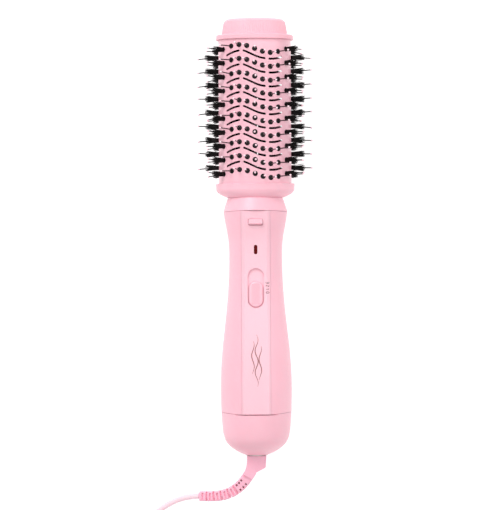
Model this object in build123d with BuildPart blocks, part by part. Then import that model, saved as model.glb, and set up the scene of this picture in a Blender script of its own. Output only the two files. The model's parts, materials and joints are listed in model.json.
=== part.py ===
"""Hot air brush lying on its back: +Y towards the brush head, +Z up, millimetres.

The tool itself is drawn straight, in its own frame: the Y axis is the tool's axis, y = 0 is
the tail end, and +Z is the front, where the switch is. tool_place() then leans it to where
it rests, on its tail and on its back pins. The cord's pieces are drawn where they lie.
"""
import os
from math import asin, atan2, cos, degrees, pi, radians, sin, sqrt, tan
from build123d import *

os.makedirs("parts", exist_ok=True)

# ---- driving dimensions -------------------------------------------------------------
wall = 2.2

# casing outline: (distance from the tail end, radius)
tail_outline = [(0, 8), (4.6, 17.6), (12, 24.8), (19, 26.7), (34.6, 28.0), (37.0, 28.1)]
casing_outline = [(33, 28.0), (54, 28.4), (84, 26.9), (110, 24.0), (137, 21.7),
                  (160, 21.15), (174, 22.0), (187, 24.4), (197.4, 25.85)]
tail_seam, casing_start, casing_end = 34.75, 35.0, 194.2
seam_bow = 1.4            # the seams bow outwards by this at the front and back

panel_width = 22.8
panel_sink = 1.8          # the panel's flat lies this far below the round casing
panel_floor = 4.4         # and its underside this far
strip_floor = 5.8         # the casing's own strip under the panel

# brush head
collar_start, collar_top = 194.45, 205.6
barrel_start, barrel_top = 217.0, 331.4
barrel_a, barrel_b, barrel_front_r = 29.0, 22.5, 50.0
barrel_wall = 1.2
flange_top, tip_start, tip_top = 335.5, 335.8, 348.1

# pins
column_pitch, row_pitch = 6.2, 11.0
rows, side_rows = 10, 9
first_row, first_side_row = 323.5, 317.7
wave_depth, wave_length = 3.2, 49.3
pin_reach = 17.2
pin_r, ball_r = 0.5, 0.85
boss_r, hole_r = 2.05, 2.1
tuft_reach = 10.8
rail_width, rail_thick = 5.6, 1.2
rail_depth = 1.6          # from the barrel's surface down to the rails

# air slots: three to a row, each a centre line of (across, along from the row's middle)
slot_thick = 1.7
slot_lines = [[(-21.9, -4.9), (-17.5, -2.8), (-12.5, -1.5)],
              [(-8.8, -1.5), (-3.5, -3.8), (1.5, -6.1), (8.0, -7.7)],
              [(11.6, -8.1), (16.0, -7.9), (21.0, -6.5)]]

# cord
cord_d = 4.4
cord_length = 1800.0

parts = {}


def keep(part, name):
    """Label a finished piece and hold it for export."""
    part.label = name
    parts[name] = part


def across(y):
    """Plane across the tool at a distance y from the tail end, facing the head."""
    return Plane(origin=(0, y, 0), x_dir=(1, 0, 0), z_dir=(0, 1, 0))


def slope_points(outline, inset):
    return [(r - inset, y) for y, r in outline]


def rod(name_plane, radius, length, bore=0.0):
    """A round bar or tube, as a sketch and an extrusion inside the open part."""
    with BuildSketch(name_plane) as section:
        Circle(radius)
        if bore:
            Circle(bore, mode=Mode.SUBTRACT)
    extrude(section.sketch, amount=length)


def revolved_outline(outline, inset, low, high, ends=None, mode=Mode.ADD):
    """The solid of revolution inside an outline moved in by an inset."""
    points = slope_points(outline, inset)
    with BuildSketch(Plane.XY) as section:
        with BuildLine():
            if ends:
                side = Spline(*points, tangents=ends)
            else:
                side = Spline(*points)
            Polyline(side @ 1, (0, high), (0, low), side @ 0)
        make_face()
    revolve(section.sketch, axis=Axis.Y, mode=mode)


casing_ends = [(0.02, 1), (0.14, 1)]
tail_ends = [(1, 0.38), (0.03, 1)]
casing_low, casing_high = casing_outline[0][0], casing_outline[-1][0]


def casing_solid(inset, mode=Mode.ADD):
    revolved_outline(casing_outline, inset, casing_low, casing_high, casing_ends, mode)


def between(low, high, low_bow, high_bow, mode=Mode.INTERSECT):
    """Keep the open part between two bowed seams; a bow is how far the front lies along +Y."""
    reach = max(r for _, r in casing_outline)
    with BuildSketch(Plane.YZ) as section:
        with BuildLine():
            start = Spline((low + low_bow, -reach), (low, 0), (low + low_bow, reach))
            end = Spline((high + high_bow, -reach), (high, 0), (high + high_bow, reach))
            Polyline(start @ 1, (low + low_bow, reach + 20), (high + high_bow, reach + 20), end @ 1)
            Polyline(start @ 0, (low + low_bow, -reach - 20), (high + high_bow, -reach - 20), end @ 0)
        make_face()
    extrude(section.sketch, amount=60, both=True, mode=mode)


def casing_radius(y):
    """The casing's outside radius at y, from the same curve."""
    curve = Spline(*slope_points(casing_outline, 0), tangents=casing_ends)
    low, high = 0.0, 1.0
    for _ in range(40):
        mid = (low + high) / 2
        if (curve @ mid).Y < y:
            low = mid
        else:
            high = mid
    return (curve @ low).X


def front_band(top_inset, floor_inset, width, low, high, mode=Mode.ADD):
    """A strip along the front between two curves that follow the casing's outline."""
    top = [(y, r - top_inset) for y, r in casing_outline]
    floor = [(y, r - floor_inset) for y, r in casing_outline]
    ends = [(y, x) for x, y in casing_ends]
    with BuildSketch(Plane.YZ) as section:
        with BuildLine():
            upper = Spline(*top, tangents=ends)
            lower = Spline(*floor, tangents=ends)
            Line(upper @ 0, lower @ 0)
            Line(upper @ 1, lower @ 1)
        make_face()
        with Locations(((low + high) / 2, 0)):
            Rectangle(high - low, 100, mode=Mode.INTERSECT)
    extrude(section.sketch, amount=width / 2, both=True, mode=mode)


# ---- the barrel's oval ----------------------------------------------------------------
def side_radius(a, b, front_r):
    """The side arc that joins a front arc smoothly on an oval of half-width a, half-depth b."""
    return (front_r ** 2 - (front_r - b) ** 2 - a ** 2) / (2 * (front_r - a))


def oval(a, b, front_r):
    """Face of an oval made of four tangent arcs, in the open sketch."""
    side_r = side_radius(a, b, front_r)
    turn = atan2(a - side_r, front_r - b)
    x, z = front_r * sin(turn), b - front_r + front_r * cos(turn)
    with BuildLine() as outline:
        ThreePointArc((-x, z), (0, b), (x, z))
        ThreePointArc((x, z), (a, 0), (x, -z))
        ThreePointArc((x, -z), (0, -b), (-x, -z))
        ThreePointArc((-x, -z), (-a, 0), (-x, z))
    make_face(outline.line.edges())


def oval_point(x):
    """Height and outward lean, in degrees, of the barrel's front surface at x."""
    side_r = side_radius(barrel_a, barrel_b, barrel_front_r)
    turn = atan2(barrel_a - side_r, barrel_front_r - barrel_b)
    if abs(x) <= barrel_front_r * sin(turn):
        lean = asin(x / barrel_front_r)
        return barrel_b - barrel_front_r + barrel_front_r * cos(lean), degrees(lean)
    reach = abs(x) - (barrel_a - side_r)
    lean = asin(min(1.0, reach / side_r))
    return side_r * cos(lean), degrees(lean) * (1 if x > 0 else -1)


def wave(x):
    """How far a row swings along the tool at x."""
    return -wave_depth * sin(2 * pi * x / wave_length)


def column_frames():
    """For each comb: its face, column number, surface point, outward direction and pin places."""
    frames = []
    for face in (1, -1):
        for k in range(-4, 5):
            x = k * column_pitch
            z, lean = oval_point(x)
            ys = [first_row - row_pitch * i + wave(x) for i in range(rows)]
            out = Vector(sin(radians(lean)), 0, cos(radians(lean)))
            spot = Vector(x, 0, z)
            if face < 0:
                out, spot = Vector(-out.X, 0, -out.Z), Vector(-x, 0, -z)
            frames.append({"face": face, "k": k, "spot": spot, "out": out, "ys": ys})
    for side in (1, -1):
        ys = [first_side_row - row_pitch * i for i in range(side_rows)]
        frames.append({"face": 0, "k": side, "spot": Vector(side * barrel_a, 0, 0),
                       "out": Vector(side, 0, 0), "ys": ys})
    return frames


def pin_plane(frame, y, rise=0.0):
    """Plane square to a pin, rise above the barrel's surface."""
    spot = frame["spot"] + frame["out"] * rise
    return Plane(origin=(spot.X, y, spot.Z), x_dir=(0, 1, 0), z_dir=frame["out"])


# ---- where the tool rests ------------------------------------------------------------------
def resting_lean():
    """Lean of the tool lying on its tail and on the nearest pins of the back's columns."""
    z, lean = oval_point(column_pitch)
    reach = z + pin_reach * cos(radians(lean))
    near_row = first_row - row_pitch * (rows - 1) - wave_depth * sin(2 * pi * column_pitch / wave_length)
    tail_y, tail_r = 36.0, 28.04
    return degrees(atan2(reach - tail_r, near_row - tail_y)), reach


lean_angle, back_reach = resting_lean()
back_column_trim = barrel_b + pin_reach - back_reach   # so three columns touch together


# ---- handle ----------------------------------------------------------------------------------
switch_low, switch_high = 117.9, 149.5
switch_mid = (switch_low + switch_high) / 2
switch_slope = degrees(atan2(casing_radius(switch_high) - casing_radius(switch_low),
                             switch_high - switch_low))
recess_width, recess_depth = 12.9, 2.0
knob_width, knob_length, knob_rise, knob_travel = 11.6, 20.8, 2.2, 7.8
knob_mid = 128.8
stem_length, stem_width = 3.8, 3.4
button_y, button_width, button_length = 186.3, 11.2, 4.6
button_face = 3.7         # the flat on top; the rest of its length slopes down on the tail side
button_gap = 0.7          # the panel's opening is this much longer on the tail side
button_rise = 2.2         # how far it stands over the panel
button_travel = 1.2
lens_y, lens_width, lens_length = 164.3, 2.6, 7.3
screw_low, screw_high = 76.0, 150.0


def switch_plane(rise=0.0):
    """Plane on the bottom of the switch recess, leaning with the panel; local x runs along it."""
    z = (casing_radius(switch_low) + casing_radius(switch_high)) / 2 - panel_sink - recess_depth
    a = radians(switch_slope)
    normal = Vector(0, -sin(a), cos(a))
    origin = Vector(0, switch_mid, z) + normal * rise
    return Plane(origin=origin, x_dir=(0, cos(a), sin(a)), z_dir=normal)


def casing_length(inset=0.0):
    """Trim the open part to the casing's length, with its bowed ends."""
    between(casing_start + inset, casing_end - inset, -seam_bow, seam_bow)


def make_handle():
    strip_cut_low, strip_cut_high = 112.0, 152.0
    with BuildPart() as handle_front_shell:
        casing_solid(0)
        casing_solid(wall, Mode.SUBTRACT)
        split(bisect_by=Plane.XY, keep=Keep.TOP)
        front_band(-10, panel_floor + 0.05, panel_width + 0.3, casing_low, casing_high, Mode.SUBTRACT)
        front_band(panel_floor + 0.05, strip_floor, panel_width + 3, casing_low, 172)
        casing_length()
        with BuildSketch(Plane.XY):
            with Locations((0, (strip_cut_low + strip_cut_high) / 2)):
                Rectangle(12, strip_cut_high - strip_cut_low)
            with Locations((0, lens_y)):
                Rectangle(6, 10)
        extrude(amount=40, mode=Mode.SUBTRACT)
    keep(handle_front_shell.part, "handle_front_shell")

    with BuildPart() as handle_back_shell:
        casing_solid(0)
        casing_solid(wall, Mode.SUBTRACT)
        split(bisect_by=Plane.XY, keep=Keep.BOTTOM)
        with Locations((0, screw_low, -25.5), (0, screw_high, -19.5)):
            Cylinder(3.2, 6, mode=Mode.ADD)
        casing_solid(0, Mode.INTERSECT)
        casing_length()
        with BuildSketch(Plane.XY.offset(-40)):
            with Locations((0, screw_low), (0, screw_high)):
                Circle(1.6)
        extrude(amount=40, mode=Mode.SUBTRACT)
    keep(handle_back_shell.part, "handle_back_shell")

    with BuildPart() as control_panel:
        casing_solid(0)
        front_band(panel_sink, panel_floor, panel_width, casing_low, casing_high, Mode.INTERSECT)
        casing_length(0.05)
        with BuildSketch(switch_plane()):
            SlotOverall(switch_high - switch_low, recess_width)
        extrude(amount=6, mode=Mode.SUBTRACT)
        with BuildSketch(switch_plane(-5)):
            with Locations((knob_mid + knob_travel / 2 - switch_mid, 0)):
                Rectangle(stem_length + knob_travel + 0.4, stem_width + 0.4)
        extrude(amount=6, mode=Mode.SUBTRACT)
        with BuildSketch(Plane.XY.offset(10)):
            with Locations((0, lens_y)):
                SlotOverall(lens_length + 0.2, lens_width + 0.2, rotation=90)
        extrude(amount=20, mode=Mode.SUBTRACT)
        with BuildSketch(Plane.XY.offset(10)):
            with Locations((0, button_y + 0.075 - button_gap / 2)):
                RectangleRounded(button_width + 0.3, button_length + 0.15 + button_gap, 1.3)
        extrude(amount=20, mode=Mode.SUBTRACT)
        with BuildSketch(Plane.XY.offset(18)):
            with Locations((0, button_y)):
                Rectangle(14.4, 7.2)
        extrude(amount=2.15, mode=Mode.SUBTRACT)
    keep(control_panel.part, "control_panel")


def make_tail():
    with BuildPart() as tail_cap:
        cap_end = tail_outline[-1][0]
        revolved_outline(tail_outline, 0, 0, cap_end, tail_ends)
        inner = [(y + wall, r - wall) for y, r in tail_outline[:2]] + \
                [(y + 0.4, r - wall) for y, r in tail_outline[2:4]] + [(cap_end, 28.0 - wall)]
        with BuildSketch(Plane.XY):
            with BuildLine():
                side = Spline(*[(r, y) for y, r in inner], tangents=tail_ends)
                Polyline(side @ 1, (0, cap_end), (0, (side @ 0).Y), side @ 0)
            make_face()
        revolve(axis=Axis.Y, mode=Mode.SUBTRACT)
        between(-10, tail_seam, 0, -seam_bow)
        rod(across(30.5), 25.7, 7.5, 24.2)
        with Locations((0, 38, 27.0)):
            Box(50, 9.6, 10, mode=Mode.SUBTRACT)
        with BuildSketch(across(-5)):
            Circle(9)
        extrude(amount=14, mode=Mode.SUBTRACT)
        with BuildSketch(Plane.XY):
            with Locations((0, 22)):
                with GridLocations(4.0, 0, 9, 1):
                    SlotOverall(15, 2.0, rotation=90)
        extrude(amount=-40, mode=Mode.SUBTRACT)
    keep(tail_cap.part, "tail_cap")

    with BuildPart() as intake_filter:
        rod(across(13.5), 22.6, 16.5, 21.8)
        with Locations((0, 22, 6)):
            Box(60, 60, 32, mode=Mode.SUBTRACT)
        with BuildSketch(Plane.XY):
            with Locations((0, 21.75)):
                with GridLocations(2.6, 3.0, 13, 5):
                    Rectangle(1.8, 2.2)
        extrude(amount=-40, mode=Mode.SUBTRACT)
    keep(intake_filter.part, "intake_filter")

    with BuildPart() as swivel_bush:
        rod(across(0.2), 9.0, 5.8, 5.55)
        rod(across(4.6), 10.5, 1.4, 5.55)
    keep(swivel_bush.part, "swivel_bush")


def make_switch():
    with BuildPart() as slide_knob:
        shift = knob_mid - switch_mid
        with BuildSketch(switch_plane(0.15)):
            with Locations((shift, 0)):
                SlotOverall(knob_length, knob_width)
        extrude(amount=knob_rise)
        fillet(slide_knob.faces().sort_by(Axis.Z)[-1].edges(), 1.6)
        with BuildSketch(switch_plane(0.15 + knob_rise - 0.5)):
            for row in range(13):
                offset = 0.5 if row % 2 else 0.0
                for column in (-1, 0, 1):
                    if offset and column > 0:
                        continue
                    with Locations((shift - 7.4 + row * 1.25, (column + offset) * 2.4)):
                        Rectangle(0.95, 0.95, rotation=45)
        extrude(amount=2.0, mode=Mode.SUBTRACT)
        with BuildSketch(switch_plane(-3.1)):
            with Locations((shift, 0)):
                Rectangle(stem_length, stem_width)
        extrude(amount=3.3)
    keep(slide_knob.part, "slide_knob")

    with BuildPart() as switch_carrier:
        with BuildSketch(switch_plane(-3.9)):
            with Locations((shift, 0)):
                Rectangle(12, 8)
        extrude(amount=0.8)
    keep(switch_carrier.part, "switch_carrier")

    with BuildPart() as switch_body:
        with Locations((0, 132, 12.65)):
            Box(12, 26, 4)
        fillet(switch_body.edges().filter_by(Axis.Z), 1.0)
        with BuildSketch(switch_plane(-4.0)):
            Rectangle(60, 40)
        extrude(amount=10, mode=Mode.SUBTRACT)
    keep(switch_body.part, "switch_body")

    with BuildPart() as circuit_board:
        with Locations((0, 137, 9.8)):
            Box(22, 60, 1.6)
        with BuildSketch(Plane.XY):
            with Locations((0, 137)):
                with GridLocations(17, 54, 2, 2):
                    Circle(1.4)
        extrude(amount=20, mode=Mode.SUBTRACT)
    keep(circuit_board.part, "circuit_board")

    with BuildPart() as board_components:
        with Locations((-6, 112, 5.5)):
            Cylinder(3.0, 7.0)
        with Locations((6, 113, 7.0)):
            Box(6, 8, 4)
        with Locations((-6, 124, 7.0)):
            Box(8, 5, 4)
        with GridLocations(4, 0, 4, 1):
            with Locations((0, 136, 7.75)):
                Cylinder(1.2, 6, rotation=(90, 0, 0))
    keep(board_components.part, "board_components")

    with BuildPart() as indicator_lens:
        with BuildSketch(Plane.XY.offset(casing_radius(lens_y) - panel_floor - 1.2)):
            with Locations((0, lens_y)):
                SlotOverall(lens_length, lens_width, rotation=90)
        extrude(amount=panel_floor - panel_sink + 0.9)
        with BuildSketch(Plane.XY.offset(casing_radius(lens_y) - panel_floor - 1.2)):
            with Locations((0, lens_y)):
                Rectangle(4.6, 9)
        extrude(amount=0.8)
    keep(indicator_lens.part, "indicator_lens")

    with BuildPart() as indicator_lamp:
        with Locations((0, lens_y, 12.2)):
            Cylinder(1.5, 3.0)
        with Locations((0, lens_y, 13.7)):
            Sphere(1.5)
        with Locations((0, lens_y, 10.95)):
            Cylinder(1.9, 0.7)
    keep(indicator_lamp.part, "indicator_lamp")


def make_release():
    with BuildPart() as release_button:
        with BuildSketch(Plane.XY.offset(18.9)):
            with Locations((0, button_y)):
                Rectangle(13.6, 6.4)
        extrude(amount=1.1)
        top = casing_radius(button_y) - panel_sink + button_rise
        with BuildSketch(Plane.XY.offset(19.8)):
            with Locations((0, button_y)):
                RectangleRounded(button_width, button_length, 1.2)
        extrude(amount=top - 19.8)
        fillet(release_button.edges().group_by(Axis.Z)[-1], 0.5)
        with BuildSketch(Plane.YZ):
            low = button_y - button_length / 2
            Polygon((low - 1, top - button_rise + 0.3), (low, top - button_rise + 0.3),
                    (low + button_length - button_face, top), (low, top + 2), (low - 1, top + 2),
                    align=None)
        extrude(amount=20, both=True, mode=Mode.SUBTRACT)
        with BuildSketch(Plane.XY.offset(17.6)):
            with Locations((0, button_y + 0.2)):
                Rectangle(5, 1.8)
        extrude(amount=1.4)
    keep(release_button.part, "release_button")

    with BuildPart() as button_spring:
        for side in (-1, 1):
            with BuildSketch(Plane.XZ.offset(-185.4)):
                with BuildLine():
                    Polyline((side * 7.0, 17.95), (side * 5.6, 17.95), (side * 3.4, 18.85),
                             (side * 3.4, 18.6), (side * 5.5, 17.7), (side * 7.0, 17.7), close=True)
                make_face()
            extrude(amount=-2.4)
    keep(button_spring.part, "button_spring")

    with BuildPart() as head_socket:
        rod(across(176), 19.4, 18, 18.1)
        rod(across(176), 20.2, 2, 18.1)
        with Locations((0, 185, 15)):
            Box(15, 19, 20, mode=Mode.SUBTRACT)
        with Locations((0, 185, 23)):
            Box(44, 20, 10, mode=Mode.SUBTRACT)
        with BuildSketch(across(188.4)):
            with Locations((0, -16.85)):
                Rectangle(17, 1.3)
        extrude(amount=1.6)
        with BuildSketch(across(184.6)):
            with Locations((-7.6, -17.1), (7.6, -17.1)):
                Rectangle(1.8, 1.2)
        extrude(amount=4)
    keep(head_socket.part, "head_socket")

    with BuildPart() as catch_leaf:
        with BuildSketch(Plane.YZ):
            with BuildLine():
                Polyline((182, 15.0), (199.4, 15.0), (199.4, 15.5), (188.2, 15.5), (188.2, 17.4),
                         (186.6, 17.4), (186.2, 15.5), (182, 15.5), close=True)
            make_face()
        extrude(amount=3.6, both=True)
    keep(catch_leaf.part, "catch_leaf")


def make_drive():
    with BuildPart() as fan_housing:
        rod(across(44), 25.3, 24, 22.4)
        rod(across(66), 15.8, 9, 14.15)
        with BuildSketch(across(63)):
            with PolarLocations(18.8, 7):
                Rectangle(8.4, 1.2)
        extrude(amount=5)
        rod(across(63), 16.0, 3.0, 9.0)
        with Locations((0, 56, 27.1)):
            Box(50, 30, 10, mode=Mode.SUBTRACT)
        with Locations((-24.5, 55, 0)):
            Box(5, 30, 7, mode=Mode.SUBTRACT)
    keep(fan_housing.part, "fan_housing")

    with BuildPart() as motor_can:
        rod(across(67), 14.0, 33, 13.0)
        rod(across(67), 14.0, 1.2, 3.0)
        rod(across(66.2), 3.6, 3.6, 1.6)
    keep(motor_can.part, "motor_can")

    with BuildPart() as motor_magnets:
        rod(across(70), 12.95, 22, 11.0)
        with Locations((0, 81, 0)):
            Box(40, 30, 9, mode=Mode.SUBTRACT)
    keep(motor_magnets.part, "motor_magnets")

    with BuildPart() as motor_end_cap:
        rod(across(97), 12.95, 4, 1.6)
        with BuildSketch(across(101)):
            with Locations((-7, 0), (7, 0)):
                Rectangle(2.2, 4)
        extrude(amount=3)
    keep(motor_end_cap.part, "motor_end_cap")

    with BuildPart() as motor_shaft:
        rod(across(50.5), 1.55, 50)
    keep(motor_shaft.part, "motor_shaft")

    with BuildPart() as armature:
        with BuildSketch(across(73)):
            Circle(10.4)
            with PolarLocations(7.6, 3, start_angle=30):
                Rectangle(6.4, 1.6, mode=Mode.SUBTRACT)
            Circle(1.55, mode=Mode.SUBTRACT)
        extrude(amount=15)
        rod(across(89), 4.2, 7, 1.55)
        rod(across(88), 5.0, 1, 1.55)
    keep(armature.part, "armature")

    with BuildPart() as fan_impeller:
        rod(across(47), 9.5, 13.5, 1.55)
        blade_tilt = 35
        with Locations(Plane(origin=(0, 53.8, 0), x_dir=(1, 0, 0), z_dir=(0, 1, 0))):
            with PolarLocations(15.2, 9):
                Box(12.6, 1.3, 12.5, rotation=(blade_tilt, 0, 0))
        with BuildSketch(across(40)):
            Circle(21.8)
            Circle(1.55, mode=Mode.SUBTRACT)
        extrude(amount=28, mode=Mode.INTERSECT)
    keep(fan_impeller.part, "fan_impeller")


def make_heater():
    heater_mid = 181.0
    with BuildPart() as heater_sleeve:
        rod(across(heater_mid - 12), 14.6, 24, 13.8)
        rod(across(heater_mid - 12), 15.4, 1.4, 13.8)
    keep(heater_sleeve.part, "heater_sleeve")

    with BuildPart() as mica_cross:
        with Locations((0, heater_mid, 0)):
            Box(27.2, 22, 0.8)
            Box(0.8, 22, 27.2)
        with BuildSketch(across(heater_mid - 20)):
            Circle(13.6)
        extrude(amount=40, mode=Mode.INTERSECT)
    keep(mica_cross.part, "mica_cross")

    with BuildPart() as heating_coil:
        for i in range(5):
            y = heater_mid + 4 * (i - 2)
            with BuildSketch(Plane.XY):
                with Locations((12.4, y)):
                    Circle(0.45)
            revolve(axis=Axis.Y)
        with Locations((0, heater_mid, 0)):
            Box(40, 40, 1.2, mode=Mode.SUBTRACT)
            Box(1.2, 40, 40, mode=Mode.SUBTRACT)
    keep(heating_coil.part, "heating_coil")

    with BuildPart() as outlet_guard:
        with BuildSketch(across(heater_mid + 12.3)):
            Circle(14.6)
            Circle(13.2, mode=Mode.SUBTRACT)
            with GridLocations(5.2, 0, 4, 1):
                Rectangle(1.2, 27.2)
            with GridLocations(0, 5.2, 1, 4):
                Rectangle(27.2, 1.2)
        extrude(amount=1.5)
    keep(outlet_guard.part, "outlet_guard")

    with BuildPart() as thermostat:
        with Locations((5.5, heater_mid, 3.4)):
            Box(5, 10, 4)
        with Locations((5.5, heater_mid, 5.6)):
            Box(3, 6, 0.4)
    keep(thermostat.part, "thermostat")

    with BuildPart() as thermal_fuse:
        with Locations((-5.5, heater_mid, 3.4)):
            Cylinder(1.6, 9, rotation=(90, 0, 0))
    keep(thermal_fuse.part, "thermal_fuse")


def make_wiring():
    routes = [[(-1.2, 10.0, 1.2), (-1.2, 17, 1.2), (-23.6, 40, 1.2), (-23.6, 76, 1.2),
               (-18.5, 96, 1.2), (-8.5, 108.2, 8.2)],
              [(1.2, 10.0, -1.2), (1.2, 18, -1.2), (-23.6, 43, -1.2), (-23.6, 78, -1.2),
               (-17.5, 100, -1.2), (-3.5, 108.2, 7.8)]]
    with BuildPart() as mains_leads:
        for points in routes:
            with BuildLine():
                path = FilletPolyline(*points, radius=6)
            with BuildSketch(Plane(origin=path @ 0, z_dir=path % 0)):
                Circle(0.9)
            sweep(path=path)
    keep(mains_leads.part, "mains_leads")

    with BuildPart() as casing_screws:
        for y, z in ((screw_low, -27.0), (screw_high, -20.6)):
            with BuildSketch(Plane.XY.offset(z)):
                with Locations((0, y)):
                    Circle(1.55)
            extrude(amount=8)
    keep(casing_screws.part, "casing_screws")


# ---- head ------------------------------------------------------------------------------------
def make_head():
    with BuildPart() as head_skirt:
        rod(across(197), 21.4, 3, 14.2)
        rod(across(179), 17.8, 18.5, 16.5)
        with Locations((0, 188, 15.0)):
            Box(15.2, 18.2, 20, mode=Mode.SUBTRACT)
        with Locations((0, 198.6, 20.05)):
            Box(7.6, 3.4, 10.1, mode=Mode.SUBTRACT)
        with Locations((0, 183, -17)):
            Box(3, 8.2, 3, mode=Mode.SUBTRACT)
    keep(head_skirt.part, "head_skirt")

    with BuildPart() as neck_collar:
        with BuildSketch(Plane.XY):
            with BuildLine():
                outer = Spline((25.5, collar_start), (24.2, 199), (22.8, 203), (21.9, collar_top),
                               tangents=[(-0.25, 1), (-0.45, 1)])
                Polyline(outer @ 1, (19.6, collar_top), (21.7, 203.2), (21.7, 196.9),
                         (23.3, collar_start), outer @ 0)
            make_face()
        revolve(axis=Axis.Y)
        between(collar_start, collar_top + 10, seam_bow, 0)
    keep(neck_collar.part, "neck_collar")

    # distance along, half-width, half-depth and front radius: a belly that swells from the collar
    ring_sections = [(collar_top + 0.05, 21.9, 21.0, 24.0), (207.5, 26.2, 22.6, 33.0),
                     (209.4, 29.4, 23.8, 42.0), (212.0, 31.2, 24.6, 50.0)]
    with BuildPart() as base_ring:
        for y, a, b, front_r in ring_sections:
            with BuildSketch(across(y)):
                oval(a, b, front_r)
        loft()
        with BuildSketch(across(ring_sections[-1][0])):
            oval(*ring_sections[-1][1:])
        with BuildSketch(across(barrel_start - 0.05)):
            oval(31.5, 24.8, 50.0)
        loft()
        fillet(base_ring.edges().group_by(Axis.Y)[-1], 0.7)
        with BuildSketch(across(200)):
            Circle(15.8)
        extrude(amount=30, mode=Mode.SUBTRACT)
        with BuildSketch(across(barrel_start - 3)):
            oval(barrel_a - 1.0, barrel_b - 1.0, barrel_front_r - 1)
        extrude(amount=10, mode=Mode.SUBTRACT)
    keep(base_ring.part, "base_ring")

    with BuildPart() as air_core:
        rod(across(207), 15.6, barrel_top - 207, 14.4)
        for y in (230, 255, 280, 305):
            with BuildSketch(across(y)):
                with PolarLocations(15, 8):
                    Rectangle(6, 5)
            extrude(amount=16, mode=Mode.SUBTRACT)
    keep(air_core.part, "air_core")

    with BuildPart() as tie_rod:
        rod(across(200.3), 1.5, 134)
        rod(across(200.3), 3.0, 1.6)
    keep(tie_rod.part, "tie_rod")

    with BuildPart() as rod_spider:
        with BuildSketch(across(202)):
            Circle(14.1)
            Circle(12.6, mode=Mode.SUBTRACT)
            with GridLocations(0, 0, 1, 1):
                Rectangle(27, 2.4)
                Rectangle(2.4, 27)
            Circle(3.4)
            Circle(1.55, mode=Mode.SUBTRACT)
        extrude(amount=3)
    keep(rod_spider.part, "rod_spider")

    with BuildPart() as top_flange:
        with BuildSketch(across(barrel_top + 0.05)):
            oval(30.8, 24.3, 50.0)
        extrude(amount=flange_top - barrel_top - 0.05)
        fillet(top_flange.edges().group_by(Axis.Y)[-1], 1.0)
        fillet(top_flange.edges().group_by(Axis.Y)[0], 0.6)
        with BuildSketch(across(330)):
            Circle(1.55)
        extrude(amount=20, mode=Mode.SUBTRACT)
        with BuildSketch(across(flange_top - 2.2)):
            RegularPolygon(4.2, 6)
        extrude(amount=5, mode=Mode.SUBTRACT)
    keep(top_flange.part, "top_flange")

    with BuildPart() as tie_nut:
        with BuildSketch(across(flange_top - 2.15)):
            RegularPolygon(4.0, 6)
            Circle(1.52, mode=Mode.SUBTRACT)
        extrude(amount=2.1)
    keep(tie_nut.part, "tie_nut")

    tip_shoulder = tip_top - 1.8
    with BuildPart() as cool_tip:
        with BuildSketch(across(tip_start)):
            oval(26.2, 20.4, 46.5)
        with BuildSketch(across(tip_shoulder)):
            oval(24.4, 18.8, 44.0)
        loft(ruled=True)
        with BuildSketch(across(tip_shoulder)):
            oval(24.4, 18.8, 44.0)
        with BuildSketch(across(tip_top)):
            oval(22.2, 16.8, 40.0)
        loft(ruled=True)
        fillet(cool_tip.edges().group_by(Axis.Y)[-1], 1.0)
        with BuildSketch(across(tip_start)):
            oval(23.4, 17.7, 44.0)
        extrude(amount=9, mode=Mode.SUBTRACT)
    keep(cool_tip.part, "cool_tip")


def slot_face(points):
    """One waved air slot along its centre line, drawn flat."""
    with BuildLine() as outline:
        top = Spline(*[(x, y + slot_thick / 2) for x, y in points])
        low = Spline(*[(x, y - slot_thick / 2) for x, y in points])
        RadiusArc(top @ 1, low @ 1, slot_thick * 0.52)
        RadiusArc(low @ 0, top @ 0, slot_thick * 0.52)
    make_face(outline.line.edges())


def make_barrel():
    frames = column_frames()
    holes = []
    for frame in frames:
        for y in frame["ys"]:
            hole = Solid.make_cylinder(hole_r, 8, pin_plane(frame, y, -5))
            holes.append(hole)
    with BuildPart() as barrel:
        with BuildSketch(across(barrel_start)):
            oval(barrel_a, barrel_b, barrel_front_r)
        extrude(amount=barrel_top - barrel_start)
        with BuildSketch(across(barrel_start)):
            oval(barrel_a - barrel_wall, barrel_b - barrel_wall, barrel_front_r - barrel_wall)
        extrude(amount=barrel_top - barrel_start, mode=Mode.SUBTRACT)
        for facing in (1, -1):
            with BuildSketch(Plane.XY):
                for row in range(rows - 1):
                    with Locations((0, first_row - row_pitch * row)):
                        for points in slot_lines:
                            add(slot_shape(points, facing))
            extrude(amount=40 * facing, mode=Mode.SUBTRACT)
        add(holes, mode=Mode.SUBTRACT)
    keep(barrel.part, "barrel")


def slot_shape(points, facing):
    """The face of one slot; facing is -1 on the back, which is the front turned about the tool."""
    with BuildSketch(Plane.XY) as shape:
        slot_face(points)
    face = shape.sketch
    if facing < 0:
        face = face.mirror(Plane.YZ)
    return face


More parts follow.
